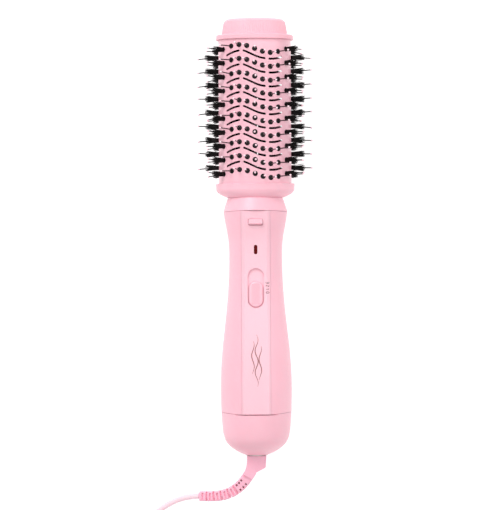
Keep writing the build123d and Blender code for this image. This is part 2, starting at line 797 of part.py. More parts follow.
def comb_part(frame):
    """One comb: a rail behind the barrel's wall, a boss in each hole, and a ball-tipped pin."""
    ys = frame["ys"]
    reach = pin_reach
    if frame["face"] < 0 and frame["k"] == 0:
        reach -= back_column_trim
    rail_low, rail_high = min(ys) - 3.0, max(ys) + 3.0
    rail_plane = pin_plane(frame, (rail_low + rail_high) / 2, -rail_depth - rail_thick)
    with BuildPart() as comb:
        with BuildSketch(rail_plane):
            RectangleRounded(rail_high - rail_low, rail_width, 2.4)
        extrude(amount=rail_thick)
        for y in ys:
            with BuildSketch(pin_plane(frame, y, -rail_depth - 0.1)):
                Circle(boss_r)
            extrude(amount=rail_depth - 0.2)
            side = pin_plane(frame, y, -0.4)
            with BuildSketch(Plane(origin=side.origin, x_dir=side.x_dir, z_dir=-side.y_dir)):
                with BuildLine():
                    ball_mid = 0.4 + reach - ball_r
                    meet = sqrt(ball_r ** 2 - pin_r ** 2)
                    Polyline((0, 0), (0.75, 0), (pin_r, 3.0), (pin_r, ball_mid - meet))
                    ThreePointArc((pin_r, ball_mid - meet), (ball_r, ball_mid), (0, ball_mid + ball_r))
                    Line((0, ball_mid + ball_r), (0, 0))
                make_face()
            revolve(axis=Axis(side.origin, side.z_dir))
    return comb.part


def make_combs():
    groups = {"front_pin_combs": [], "back_pin_combs": [], "left_pin_combs": [],
              "right_pin_combs": []}
    for frame in column_frames():
        piece = comb_part(frame)
        if frame["face"] and abs(frame["k"]) < 4:
            name = "front_pin_combs" if frame["face"] > 0 else "back_pin_combs"
        else:
            name = "right_pin_combs" if frame["spot"].X > 0 else "left_pin_combs"
        groups[name] += piece.solids()
    for name, solids in groups.items():
        keep(Compound(children=solids), name)


def make_tufts():
    for name, way in (("left_tufts", -1), ("right_tufts", 1)):
        solids = []
        for frame in column_frames():
            tufted = frame["face"] == 0 or abs(frame["k"]) == 4
            if not tufted or frame["spot"].X * way < 0:
                continue
            for y in frame["ys"]:
                plane = pin_plane(frame, y, -0.25)
                tuft = Solid.make_cone(1.75, 2.5, tuft_reach, plane)
                bore = Solid.make_cone(0.85, 0.6, 3.0, plane)
                rest = Solid.make_cylinder(0.6, tuft_reach + 2, plane)
                solids += (tuft - bore - rest).solids()
        keep(Compound(children=solids), name)


# ---- where it lies ------------------------------------------------------------------------------
def tool_place(tool):
    """The Location that leans the tool and centres its box on the origin, standing on z = 0."""
    leaned = [part.moved(Location((0, 0, 0), (lean_angle, 0, 0))) for part in tool]
    boxes = [part.bounding_box() for part in leaned]
    low = [min(getattr(b.min, c) for b in boxes) for c in "XYZ"]
    high = [max(getattr(b.max, c) for b in boxes) for c in "XYZ"]
    return Location((-(low[0] + high[0]) / 2, -(low[1] + high[1]) / 2, -low[2]), (lean_angle, 0, 0))


# ---- cord ------------------------------------------------------------------------------------------
# The places below are measured from the tail end's centre, x to the right, y towards the head,
# and z from the surface that the brush lies on.
relief_route = [(-4.2, -12.6, 24.6), (-8.2, -18.8, 23.6), (-13.2, -24.8, 22.2), (-20.4, -29.9, 20.3),
                (-29.0, -32.6, 17.9), (-38.0, -33.1, 15.2), (-46.4, -32.9, 12.4)]
cord_route = [(-46.4, -32.9, 12.4), (-54.6, -33.4, 9.8), (-64.2, -36.0, 7.0), (-74.0, -40.9, 4.6),
              (-83.6, -48.2, 3.0), (-92.6, -57.4, 2.2), (-99.4, -69.0, 2.2), (-103.0, -81.6, 2.2),
              (-104.4, -94.5, 2.2)]
ring_pitch, ring_length, ring_inset = 6.3, 4.5, 1.4
coil_centre = (-78.4, -104.0)
coil_mid_r, coil_width, coil_height = 25.0, 17.8, 13.2
plug_route = [(-80.5, -135.9, 2.2), (-69.0, -136.6, 2.3), (-58.0, -136.9, 3.5), (-47.5, -136.2, 5.6),
              (-38.0, -135.9, 6.9)]


def arc_radii(points):
    """Radius of each bend: as large as the two runs beside it allow."""
    radii = []
    for before, here, after in zip(points, points[1:], points[2:]):
        first, second = Vector(*here) - Vector(*before), Vector(*after) - Vector(*here)
        turn = radians(first.get_angle(second))
        radii.append(0.45 * min(first.length, second.length) / tan(turn / 2))
    return radii


def tube(points, diameter, name):
    """A cord's tube along straight runs and tangent arcs."""
    radii = arc_radii(points)
    with BuildPart() as piece:
        with BuildLine():
            path = FilletPolyline(*points, radius=radii)
        with BuildSketch(Plane(origin=path @ 0, z_dir=path % 0)):
            Circle(diameter / 2)
        sweep()
    length = path.length
    section = pi * diameter ** 2 / 4
    print(name, "radii", [round(r, 1) for r in radii], "length", round(length, 1),
          "volume ratio", round(piece.part.volume / (section * length), 4))
    return piece.part, length


def shifted(points, place):
    """Route points moved from the tail end to the row's frame."""
    tail = place.position
    return [(x + tail.X, y + tail.Y, z) for x, y, z in points]


def make_cord(place):
    tail = place.position

    def tool_plane(plane):
        return Plane(place * plane.location)

    with BuildPart() as swivel_spindle:
        with BuildSketch(tool_plane(across(-0.5))):
            Circle(5.5)
        extrude(amount=9.9)
        with BuildSketch(tool_plane(across(6.25))):
            Circle(5.6)
            Circle(4.7, mode=Mode.SUBTRACT)
        extrude(amount=1.4, mode=Mode.SUBTRACT)
        with BuildSketch(tool_plane(across(-1))):
            Circle(2.6)
        extrude(amount=12, mode=Mode.SUBTRACT)
    keep(swivel_spindle.part, "swivel_spindle")

    with BuildPart() as swivel_clip:
        with BuildSketch(tool_plane(across(6.3))):
            Circle(8.2)
            Circle(4.75, mode=Mode.SUBTRACT)
            with Locations((6, 0)):
                Rectangle(12, 5, mode=Mode.SUBTRACT)
        extrude(amount=1.3)
    keep(swivel_clip.part, "swivel_clip")

    route = shifted(relief_route, place)
    path_radii = arc_radii(route)
    with BuildPart() as strain_relief:
        with BuildLine():
            path = FilletPolyline(*route, radius=path_radii)
        length = path.length

        def along(distance):
            """Plane square to the sleeve, with x to the side and y up or down."""
            tangent = path % (distance / length)
            return Plane(origin=path @ (distance / length), z_dir=tangent,
                         x_dir=tangent.cross(Vector(0, 0, 1)))

        with BuildSketch(along(0)):
            Circle(2.6)
        sweep()
        with BuildSketch(tool_plane(Plane.XY)):
            with BuildLine():
                left = Spline((-7.7, -0.55), (-8.1, -8.4), (-11.0, -15.0), tangents=[(0, -1), (-0.62, -0.78)])
                Polyline(left @ 1, (-4.0, -19.2), (-0.4, -13.7), (6.7, -10.0), (7.2, -9.2), (7.7, -0.55),
                         left @ 0)
            make_face()
        extrude(amount=5.0, both=True)
        sleeve_end = length - ring_inset - ring_pitch * 4 - ring_length * 1.5
        stations = [along(sleeve_end * i / 4) for i in range(5)]
        for first, second in zip(stations, stations[1:]):
            for plane in (first, second):
                with BuildSketch(plane):
                    RectangleRounded(8.8, 8.8, 1.6)
            loft()
        for i in range(3):
            middle = along(sleeve_end - 2.2 - 2.9 * i)
            for side in (-2.35, 2.35):
                with Locations(middle * Location((side, 0, 0))):
                    Box(1.7, 12, 1.6, mode=Mode.SUBTRACT)
        for i in range(5):
            long = ring_length * (1.2 if i == 0 else 1.0)
            middle = along(length - ring_inset - ring_length * 0.6 - ring_pitch * i)
            size = 7.8 + 0.2 * i
            with BuildSketch(middle.offset(-long / 2)):
                RectangleRounded(size, size, 1.5)
            extrude(amount=long)
            for face in (-1, 1):
                with Locations(middle * Location((0, face * size / 2, 0))):
                    Box(5.4, 2.4, 1.4, mode=Mode.SUBTRACT)
    print("relief radii", [round(r, 1) for r in path_radii], "length", round(length, 1))
    keep(strain_relief.part, "strain_relief")

    cord, first_length = tube(shifted(cord_route, place), cord_d, "cord")
    keep(cord, "cord")
    plug_lead, last_length = tube(shifted(plug_route, place), cord_d, "plug_lead")
    keep(plug_lead, "plug_lead")

    coil_x, coil_y = coil_centre[0] + tail.X, coil_centre[1] + tail.Y
    with BuildPart() as cord_coil:
        with BuildSketch(Plane(origin=(coil_x, coil_y, 0), x_dir=(1, 0, 0), z_dir=(0, -1, 0))):
            with Locations((coil_mid_r, coil_height / 2)):
                RectangleRounded(coil_width, coil_height, 2.0)
        revolve(axis=Axis((coil_x, coil_y, 0), (0, 0, 1)))
    keep(cord_coil.part, "cord_coil")
    coiled = cord_length - first_length - last_length
    print("coil turns", round(coiled / (2 * pi * coil_mid_r), 2), "coiled", round(coiled))

    plug_x, plug_y, plug_z = shifted([plug_route[-1]], place)[0]
    with BuildPart() as plug_body:
        with BuildSketch(Plane(origin=(plug_x, plug_y, plug_z), x_dir=(0, 1, 0), z_dir=(1, 0, 0))):
            Circle(3.4)
        with BuildSketch(Plane(origin=(plug_x + 12, plug_y, plug_z), x_dir=(0, 1, 0), z_dir=(1, 0, 0))):
            Circle(4.8)
        loft()
        with BuildSketch(Plane(origin=(plug_x + 12, plug_y, plug_z), x_dir=(0, 1, 0), z_dir=(1, 0, 0))):
            RectangleRounded(16, 11, 3)
        with BuildSketch(Plane(origin=(plug_x + 40, plug_y, plug_z), x_dir=(0, 1, 0), z_dir=(1, 0, 0))):
            RectangleRounded(33, 13.6, 4)
        loft()
    keep(plug_body.part, "plug_body")

    with BuildPart() as plug_pins:
        for side in (-9.3, 9.3):
            with BuildSketch(Plane(origin=(plug_x + 40, plug_y + side, plug_z), x_dir=(0, 1, 0),
                                   z_dir=(1, 0, 0))):
                Circle(2.0)
            extrude(amount=19.0)
        fillet(plug_pins.edges().group_by(Axis.X)[-1], 0.9)
    keep(plug_pins.part, "plug_pins")
    print("plug", [round(v, 3) for v in (plug_x, plug_y, plug_z)])


# ---- build -----------------------------------------------------------------------------------------
make_handle()
make_tail()
make_switch()
make_release()
make_drive()
make_heater()
make_wiring()
make_head()
make_barrel()
make_combs()
make_tufts()

place = tool_place(list(parts.values()))
for name in list(parts):
    moved = parts[name].moved(place)
    moved.label = name
    parts[name] = moved
make_cord(place)

for name, part in parts.items():
    export_step(part, f"parts/{name}.step")


def tell(name, point, direction=None):
    """Print a place on the tool in the row's frame, for the record."""
    spot = (place * Location(point)).position
    print(name, [round(v, 3) for v in spot])


print("lean", round(lean_angle, 3), "tail at", [round(v, 3) for v in place.position])
tell("head seam", (0, collar_start, 0))
tell("grip middle", (0, 84, 0))
tell("button", (0, button_y, 23.8))
tell("switch", tuple(switch_plane().origin))
print("switch direction leans", round(switch_slope + lean_angle, 4), "nodes", len(parts))
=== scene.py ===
import json
import math
import random

import bpy
import bmesh
from mathutils import Matrix, Vector


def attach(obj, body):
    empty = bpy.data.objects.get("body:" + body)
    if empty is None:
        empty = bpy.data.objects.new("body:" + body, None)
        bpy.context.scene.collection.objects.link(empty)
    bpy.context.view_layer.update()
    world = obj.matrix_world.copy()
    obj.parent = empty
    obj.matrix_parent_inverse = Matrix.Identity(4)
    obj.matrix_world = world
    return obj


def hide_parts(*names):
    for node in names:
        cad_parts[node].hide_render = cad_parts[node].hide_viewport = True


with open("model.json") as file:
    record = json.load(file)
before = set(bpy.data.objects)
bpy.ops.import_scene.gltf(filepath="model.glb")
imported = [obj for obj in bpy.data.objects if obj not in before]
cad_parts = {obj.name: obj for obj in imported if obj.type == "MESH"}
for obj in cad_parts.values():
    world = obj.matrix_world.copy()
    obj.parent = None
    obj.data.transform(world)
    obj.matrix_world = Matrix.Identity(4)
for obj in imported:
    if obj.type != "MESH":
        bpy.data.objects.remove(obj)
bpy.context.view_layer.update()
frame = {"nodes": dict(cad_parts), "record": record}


MM = 0.001
NODES = frame["nodes"]
JOINTS = {j["name"]: j for j in frame["record"]["behaviour"]["joints"]}
PICK = random.Random(20)

# ---- the tool's own frame: its axis is +Y from the tail end, +Z is the switch side -------------
TAIL = Vector(JOINTS["cord_swivel"]["pos_m"])
ALONG = Vector(JOINTS["cord_swivel"]["axis"]).normalized()
FRONT = Vector((1, 0, 0)).cross(ALONG)


def tool(x, y, z):
    """The place of a point given in the tool's frame, in millimetres."""
    return TAIL + (Vector((1, 0, 0)) * x + ALONG * y + FRONT * z) * MM


def way(x, y, z):
    """A direction given in the tool's frame."""
    return (Vector((1, 0, 0)) * x + ALONG * y + FRONT * z).normalized()


# ---- camera ------------------------------------------------------------------------------------
def make_camera():
    """Straight above the switch side, far off, as a catalogue picture is taken."""
    distance, wide = 2040.0, 400.0          # mm to the tool's axis, and mm across the picture there
    middle, aside, roll = 160.0, -4.5, 0.31   # mm along, mm across, degrees
    data = bpy.data.cameras.new("camera")
    camera = bpy.data.objects.new("camera", data)
    bpy.context.scene.collection.objects.link(camera)
    data.sensor_fit = "HORIZONTAL"
    data.sensor_width = 36.0
    data.lens = data.sensor_width * distance / wide
    data.clip_start, data.clip_end = 0.1, 20
    back = FRONT.copy()
    up = Matrix.Rotation(math.radians(-roll), 3, back) @ ALONG
    right = up.cross(back)
    camera.matrix_world = Matrix((
        (right.x, up.x, back.x, 0), (right.y, up.y, back.y, 0), (right.z, up.z, back.z, 0),
        (0, 0, 0, 1)))
    camera.matrix_world.translation = tool(aside, middle, distance)
    bpy.context.scene.camera = camera


# ---- materials ---------------------------------------------------------------------------------
def new_material(name):
    material = bpy.data.materials.new(name)
    material.use_nodes = True
    tree = material.node_tree
    return material, tree, tree.nodes["Principled BSDF"]


def set_surface(shader, rough, metal=0.0, specular=0.5, coat=0.0, coat_rough=0.1,
                subsurface=0.0):
    shader.inputs["Roughness"].default_value = rough
    shader.inputs["Metallic"].default_value = metal
    shader.inputs["Specular IOR Level"].default_value = specular
    shader.inputs["Coat Weight"].default_value = coat
    shader.inputs["Coat Roughness"].default_value = coat_rough
    shader.inputs["Subsurface Weight"].default_value = subsurface
    shader.inputs["Subsurface Radius"].default_value = (1.0, 0.25, 0.32)
    shader.inputs["Subsurface Scale"].default_value = 0.003


def noise(tree, coords, scale, detail=3.0, rough=0.5):
    node = tree.nodes.new("ShaderNodeTexNoise")
    node.inputs["Scale"].default_value = scale
    node.inputs["Detail"].default_value = detail
    node.inputs["Roughness"].default_value = rough
    tree.links.new(coords, node.inputs["Vector"])
    return node.outputs["Fac"]


def ramp(tree, value, low, high, colour_low, colour_high):
    node = tree.nodes.new("ShaderNodeValToRGB")
    node.color_ramp.elements[0].position = low
    node.color_ramp.elements[1].position = high
    node.color_ramp.elements[0].color = (*colour_low, 1)
    node.color_ramp.elements[1].color = (*colour_high, 1)
    tree.links.new(value, node.inputs["Fac"])
    return node.outputs["Color"]


def spread(tree, value, low, high):
    node = tree.nodes.new("ShaderNodeMapRange")
    node.inputs["To Min"].default_value = low
    node.inputs["To Max"].default_value = high
    tree.links.new(value, node.inputs["Value"])
    return node.outputs["Result"]


def bump(tree, shader, height, strength, distance):
    node = tree.nodes.new("ShaderNodeBump")
    node.inputs["Strength"].default_value = strength
    node.inputs["Distance"].default_value = distance
    tree.links.new(height, node.inputs["Height"])
    tree.links.new(node.outputs["Normal"], shader.inputs["Normal"])
    return node


def coordinates(tree):
    return tree.nodes.new("ShaderNodeTexCoord").outputs["Object"]


def tinted(colour, factor):
    return tuple(min(1.0, c * factor) for c in colour)


def moulded(name, colour, rough=0.38, grain=900.0, depth=0.00002, mottle=0.025, **surface):
    """Moulded plastic: slow drift in colour, a fine spark-eroded grain, and uneven gloss."""
    material, tree, shader = new_material(name)
    coords = coordinates(tree)
    drift = noise(tree, coords, 28.0, 4.0)
    colours = ramp(tree, drift, 0.3, 0.7, tinted(colour, 1 - mottle), tinted(colour, 1 + mottle))
    tree.links.new(colours, shader.inputs["Base Color"])
    set_surface(shader, rough, **surface)
    patches = noise(tree, coords, 160.0, 5.0, 0.6)
    tree.links.new(spread(tree, patches, rough - 0.05, rough + 0.06), shader.inputs["Roughness"])
    bump(tree, shader, noise(tree, coords, grain, 2.0, 0.55), 0.35, depth)
    return material


def metal(name, colour, rough=0.3, stretch=(1, 1, 1), depth=0.00001):
    """Drawn or turned metal: fine streaks along one way, and dull patches."""
    material, tree, shader = new_material(name)
    mapping = tree.nodes.new("ShaderNodeMapping")
    mapping.inputs["Scale"].default_value = stretch
    tree.links.new(coordinates(tree), mapping.inputs["Vector"])
    streaks = noise(tree, mapping.outputs["Vector"], 900.0, 4.0)
    colours = ramp(tree, streaks, 0.3, 0.7, tinted(colour, 0.88), tinted(colour, 1.05))
    tree.links.new(colours, shader.inputs["Base Color"])
    set_surface(shader, rough, metal=1.0)
    tree.links.new(spread(tree, streaks, rough - 0.08, rough + 0.12), shader.inputs["Roughness"])
    bump(tree, shader, streaks, 0.3, depth)
    return material


PINK = (0.940, 0.505, 0.590)
# The panel's pink is the casing pink made lighter: painted light on the flat front panel that faces
# the lamps.
LIT_PANEL_PINK = (0.945, 0.545, 0.625)
HEAD_PINK = (0.940, 0.515, 0.600)
CAP_PINK = (0.940, 0.480, 0.560)
CORD_PINK = (0.945, 0.690, 0.755)
RELIEF_PINK = (0.945, 0.480, 0.600)
BLACK = (0.004, 0.003, 0.003)
TIP_PINK = (0.960, 0.700, 0.760)
MARK_GREY = (0.110, 0.055, 0.060)
ROSE = (0.310, 0.110, 0.110)


def make_materials():
    made = {}
    made["casing"] = moulded("casing_plastic", PINK, 0.36, 1100.0, 0.000012, specular=0.45,
                             subsurface=0.12)
    # Painted light: the panel's plastic is a lighter copy of the casing plastic, standing in for the
    # light on its flat face.
    made["panel"] = moulded("panel_plastic", LIT_PANEL_PINK, 0.32, 1100.0, 0.000010, specular=0.45,
                            subsurface=0.12)
    made["control"] = moulded("control_plastic", HEAD_PINK, 0.34, 1300.0, 0.000010, specular=0.45,
                              subsurface=0.12)
    made["head"] = moulded("head_plastic", HEAD_PINK, 0.40, 1300.0, 0.000016, specular=0.4,
                           subsurface=0.12)
    made["cap"] = moulded("cap_plastic", CAP_PINK, 0.42, 1300.0, 0.000016, specular=0.4,
                          subsurface=0.12)
    made["barrel"] = moulded("barrel_coat", HEAD_PINK, 0.30, 2400.0, 0.000006, mottle=0.015,
                             specular=0.5, coat=0.15, coat_rough=0.2)
    made["relief"] = moulded("relief_plastic", RELIEF_PINK, 0.5, 700.0, 0.00002, specular=0.35,
                             subsurface=0.12)
    made["cord"] = moulded("cord_jacket", CORD_PINK, 0.42, 700.0, 0.00002, specular=0.4,
                           subsurface=0.12)
    made["nylon"] = moulded("pin_nylon", BLACK, 0.26, 1500.0, 0.00001, mottle=0.2, specular=0.3)
    made["fibre"] = moulded("tuft_fibre", BLACK, 0.42, 2500.0, 0.00001, mottle=0.3, specular=0.2)
    made["tips"] = moulded("tip_dip", TIP_PINK, 0.22, 1500.0, 0.000006, specular=0.55,
                           subsurface=0.15)
    made["core"] = moulded("core_plastic", (0.006, 0.005, 0.006), 0.6, 900.0, mottle=0.2,
                           specular=0.2)
    made["marks"] = moulded("mark_print", MARK_GREY, 0.5, 2000.0, mottle=0.05)
    made["motif"] = moulded("motif_print", ROSE, 0.35, 2000.0, mottle=0.05, specular=0.6)
    made["inner"] = moulded("inner_plastic", (0.70, 0.66, 0.62), 0.45, 800.0, 0.00003)
    made["board"] = moulded("board_laminate", (0.03, 0.20, 0.09), 0.35, 500.0, 0.00002, mottle=0.2)
    made["parts"] = moulded("component_plastic", (0.04, 0.04, 0.045), 0.4, 900.0, mottle=0.2)
    made["mica"] = moulded("mica_board", (0.55, 0.46, 0.33), 0.5, 300.0, 0.00006, mottle=0.18)
    made["leads"] = moulded("lead_jacket", (0.35, 0.20, 0.06), 0.45, 900.0, mottle=0.1)
    made["steel"] = metal("spring_steel", (0.62, 0.62, 0.63), 0.28, (1, 12, 1))
    made["motor"] = metal("motor_steel", (0.52, 0.52, 0.50), 0.38, (1, 14, 1))
    made["magnet"] = moulded("ferrite", (0.06, 0.06, 0.065), 0.6, 600.0, 0.00004, mottle=0.2)
    made["nichrome"] = metal("nichrome", (0.42, 0.38, 0.35), 0.4)
    made["pins"] = metal("pin_metal", (0.80, 0.76, 0.70), 0.22, (16, 1, 1))
    made["lens"] = red_window()
    made["lamp"] = moulded("lamp_resin", (0.5, 0.03, 0.03), 0.15, 900.0, mottle=0.05,
                           subsurface=0.2)
    return made


def red_window():
    """Dark red window, nearly opaque from outside."""
    material, tree, shader = new_material("lens_red")
    coords = coordinates(tree)
    depth = noise(tree, coords, 300.0, 2.0)
    colours = ramp(tree, depth, 0.3, 0.7, (0.075, 0.0002, 0.0004), (0.140, 0.0004, 0.0008))
    tree.links.new(colours, shader.inputs["Base Color"])
    set_surface(shader, 0.25, specular=0.08)
    bump(tree, shader, noise(tree, coords, 1800.0, 1.0), 0.15, 0.000008)
    return material


NODE_LOOKS = {
    "casing": ["handle_front_shell", "handle_back_shell", "tail_cap", "neck_collar"],
    # The control panel gets the lighter copy of the casing plastic, with painted light in its
    # colour.
    "panel": ["control_panel"],
    "control": ["slide_knob", "release_button", "switch_carrier"],
    "head": ["base_ring", "head_skirt"],
    "cap": ["top_flange", "cool_tip"],
    "barrel": ["barrel"],
    "relief": ["strain_relief", "plug_body"],
    "core": ["air_core", "rod_spider"],
    "lens": ["indicator_lens"],
    "lamp": ["indicator_lamp"],
    "steel": ["button_spring", "catch_leaf", "swivel_clip", "motor_shaft",
              "tie_rod", "tie_nut", "casing_screws", "thermostat"],
    "inner": ["swivel_spindle", "swivel_bush", "head_socket", "fan_housing", "fan_impeller",
              "motor_end_cap", "intake_filter", "outlet_guard"],
    "motor": ["motor_can", "armature"],
    "magnet": ["motor_magnets"],
    "board": ["circuit_board"],
    "parts": ["board_components", "switch_body"],
    "mica": ["mica_cross", "heater_sleeve"],
    "nichrome": ["heating_coil", "thermal_fuse"],
    "leads": ["mains_leads"],
    "pins": ["plug_pins"],
}


def dress(node, material):
    slots = NODES[node].material_slots
    if not slots:
        NODES[node].data.materials.append(material)
    for held in slots:
        held.material = material


# ---- mesh helpers ------------------------------------------------------------------------------
class Mesh:
    """Collects points and faces, then makes one object of them."""

    def __init__(self):
        self.points, self.faces, self.looks = [], [], []

    def rod(self, centres, radii, sides, look=0):
        """A round bar through centres, with closed ends and a radius at each centre."""
        first = len(self.points)
        line = (centres[-1] - centres[0]).normalized()
        guide = Vector((0, 0, 1)) if abs(line.z) < 0.9 else Vector((1, 0, 0))
        a = line.cross(guide).normalized()
        b = line.cross(a)
        for centre, radius in zip(centres, radii):
            for i in range(sides):
                turn = 2 * math.pi * i / sides
                self.points.append(centre + (a * math.cos(turn) + b * math.sin(turn)) * radius)
        for ring in range(len(centres) - 1):
            for i in range(sides):
                j = (i + 1) % sides
                low, high = first + ring * sides, first + (ring + 1) * sides
                self.face((low + i, low + j, high + j, high + i), look)
        last = first + (len(centres) - 1) * sides
        self.face(tuple(first + i for i in reversed(range(sides))), look)
        self.face(tuple(last + i for i in range(sides)), look)

    def face(self, corners, look=0):
        self.faces.append(corners)
        self.looks.append(look)

    def make(self, name, materials):
        data = bpy.data.meshes.new(name)
        data.from_pydata([tuple(p) for p in self.points], [], self.faces)
        for material in materials:
            data.materials.append(material)
        for polygon, look in zip(data.polygons, self.looks):
            polygon.material_index = look
            polygon.use_smooth = True
        shape = bmesh.new()
        shape.from_mesh(data)
        bmesh.ops.recalc_face_normals(shape, faces=shape.faces)
        shape.to_mesh(data)
        shape.free()
        piece = bpy.data.objects.new(name, data)
        bpy.context.scene.collection.objects.link(piece)
        return piece


# ---- brush head layout, as the CAD part has it, in millimetres ---------------------------------
COLUMN_PITCH, ROW_PITCH = 6.2, 11.0
ROWS, SIDE_ROWS = 10, 9
FIRST_ROW, FIRST_SIDE_ROW = 323.5, 317.7
WAVE_DEPTH, WAVE_LENGTH = 3.2, 49.3
HALF_WIDTH, HALF_DEPTH, FRONT_R = 29.0, 22.5, 50.0
SIDE_R = ((FRONT_R ** 2 - (FRONT_R - HALF_DEPTH) ** 2 - HALF_WIDTH ** 2)
          / (2 * (FRONT_R - HALF_WIDTH)))
EDGE_COLUMN = 4                            # columns are numbered from the middle one, 0
PIN_REACH, BALL_R = 17.2, 0.85
BACK_TRIM = 0.49                           # the back's middle column is shorter, to lie flat


def oval_point(x):
    """Height and outward lean, in radians, of the barrel's front at x."""
    turn = math.atan2(HALF_WIDTH - SIDE_R, FRONT_R - HALF_DEPTH)
    if abs(x) <= FRONT_R * math.sin(turn):
        lean = math.asin(x / FRONT_R)
        return HALF_DEPTH - FRONT_R + FRONT_R * math.cos(lean), lean
    lean = math.asin(min(1.0, (abs(x) - HALF_WIDTH + SIDE_R) / SIDE_R))
    return SIDE_R * math.cos(lean), math.copysign(lean, x)


def wave(x):
    return -WAVE_DEPTH * math.sin(2 * math.pi * x / WAVE_LENGTH)


def columns():
    """Each column of pins: face, number, surface point, outward way and the places along it."""
    for face in (1, -1):
        for k in range(-EDGE_COLUMN, EDGE_COLUMN + 1):
            x = k * COLUMN_PITCH
            z, lean = oval_point(x)
            ys = [FIRST_ROW - ROW_PITCH * i + wave(x) for i in range(ROWS)]
            yield face, k, (face * x, face * z), (face * math.sin(lean), face * math.cos(lean)), ys
    for side in (1, -1):
        ys = [FIRST_SIDE_ROW - ROW_PITCH * i for i in range(SIDE_ROWS)]
        yield 0, side, (side * HALF_WIDTH, 0.0), (side, 0.0), ys


STRAIGHT_BACK, BACK_DRIFT = -0.9, 0.3      # pins that the tool lies on are bent this much less


def add_pin(mesh, spot, out, y, reach, wobble):
    """A nylon pin: domed boss in its hole, tapered foot, slender shaft and dipped ball tip."""
    base = tool(spot[0], y, spot[1])
    direction = way(out[0], 0, out[1])
    side = way(out[1], 0, -out[0])
    drift = (ALONG * PICK.uniform(-wobble, wobble) + side * PICK.uniform(-wobble, wobble)) * MM
    if out[1] < STRAIGHT_BACK:
        drift *= BACK_DRIFT

    def at(rise):
        part = max(0.0, rise) / reach
        return base + direction * rise * MM + drift * part ** 1.6

    boss = [(-1.7, 2.05), (-0.35, 2.05), (-0.08, 1.9), (0.1, 1.45), (0.22, 0.9)]
    mesh.rod([at(r) for r, _ in boss], [w * MM for _, w in boss], 14)
    ball_mid = reach - BALL_R
    shaft = [(0.1, 0.72), (1.2, 0.6), (3.5, 0.5), (8.0, 0.46), (12.5, 0.43), (ball_mid - 0.7, 0.40)]
    mesh.rod([at(r) for r, _ in shaft], [w * MM for _, w in shaft], 8)
    steps = [-66, -40, -14, 14, 40, 66, 86]
    ball = [(ball_mid + BALL_R * math.sin(math.radians(a)), BALL_R * math.cos(math.radians(a)))
            for a in steps]
    mesh.rod([at(r) for r, _ in ball], [w * MM for _, w in ball], 10, look=1)


TUFT_BRISTLES, TUFT_R = 66, 1.72


def add_tuft(mesh, spot, out, y):
    """A bundle of loose bristles around a pin, packed at the root and ragged at the end."""
    base = tool(spot[0], y, spot[1])
    direction = way(out[0], 0, out[1])
    side = way(out[1], 0, -out[0])
    core = [(-0.3, 1.6), (3.0, 1.65), (5.6, 1.4), (7.2, 0.6)]
    mesh.rod([base + direction * r * MM for r, _ in core], [w * MM for _, w in core], 10)
    for _ in range(TUFT_BRISTLES):
        turn = PICK.uniform(0, 2 * math.pi)
        off = TUFT_R * math.sqrt(PICK.uniform(0.05, 1.0))
        reach = PICK.uniform(8.6, 11.9) * (1.0 - 0.04 * off)
        fan = 0.45 + PICK.uniform(-0.3, 0.5)
        flick = PICK.uniform(-0.8, 0.8)
        spread_way = ALONG * math.cos(turn) + side * math.sin(turn)
        across_way = ALONG * -math.sin(turn) + side * math.cos(turn)
        centres = []
        for t in (0.0, 0.35, 0.7, 1.0):
            radial = off * (1 + fan * t ** 1.5)
            centres.append(base + (direction * (-0.2 + reach * t) + spread_way * radial
                                   + across_way * flick * t * t) * MM)
        mesh.rod(centres, [0.19 * MM, 0.18 * MM, 0.16 * MM, 0.11 * MM], 4)


SIDE_WOBBLE, FACE_WOBBLE, UNEVEN = 1.5, 0.9, 0.5     # bend and shortfall of the moulded pins


def make_bristles(looks):
    groups = {name: Mesh() for name in ("front", "back", "left", "right")}
    tufts = {"left": Mesh(), "right": Mesh()}
    for face, k, spot, out, ys in columns():
        tufted = face == 0 or abs(k) == EDGE_COLUMN
        side = "right" if spot[0] > 0 else "left"
        group = side if tufted else ("front" if face > 0 else "back")
        for y in ys:
            reach = PIN_REACH - PICK.uniform(0.0, UNEVEN)
            if face < 0 and abs(k) <= 1:
                reach = PIN_REACH - (BACK_TRIM if k == 0 else 0.0)
            wobble = SIDE_WOBBLE if tufted else FACE_WOBBLE
            add_pin(groups[group], spot, out, y, reach, wobble)
            if tufted:
                add_tuft(tufts[side], spot, out, y)
    for name, mesh in groups.items():
        piece = mesh.make(f"{name}_pins", [looks["nylon"], looks["tips"]])
        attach(piece, "brush_head")
        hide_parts(f"{name}_pin_combs")
    for name, mesh in tufts.items():
        piece = mesh.make(f"{name}_bristle_tufts", [looks["fibre"]])
        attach(piece, "brush_head")
        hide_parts(f"{name}_tufts")


# ---- cool tip's grip ribs ----------------------------------------------------------------------
TIP_LOW = (336.9, 26.0, 20.2, 46.2)        # along, half-width, half-depth, front radius
TIP_HIGH = (345.6, 24.5, 18.9, 44.1)
RIBS = 84


def oval_ring(a, b, front_r, share):
    """Point and outward way on a four-arc oval, share of the way round it."""
    side_r = (front_r ** 2 - (front_r - b) ** 2 - a ** 2) / (2 * (front_r - a))
    turn = math.atan2(a - side_r, front_r - b)
    front_run, side_run = front_r * turn, side_r * (math.pi / 2 - turn)
    quarter, run = divmod(share * 4 * (front_run + side_run), front_run + side_run)
    if quarter % 2:
        run = front_run + side_run - run
    if run < front_run:
        lean = run / front_r
        x, z = front_r * math.sin(lean), b - front_r + front_r * math.cos(lean)
    else:
        lean = turn + (run - front_run) / side_r
        x, z = a - side_r + side_r * math.sin(lean), side_r * math.cos(lean)
    sign_x = 1 if quarter < 2 else -1
    sign_z = -1 if quarter in (1, 2) else 1
    return x * sign_x, z * sign_z, math.sin(lean) * sign_x, math.cos(lean) * sign_z


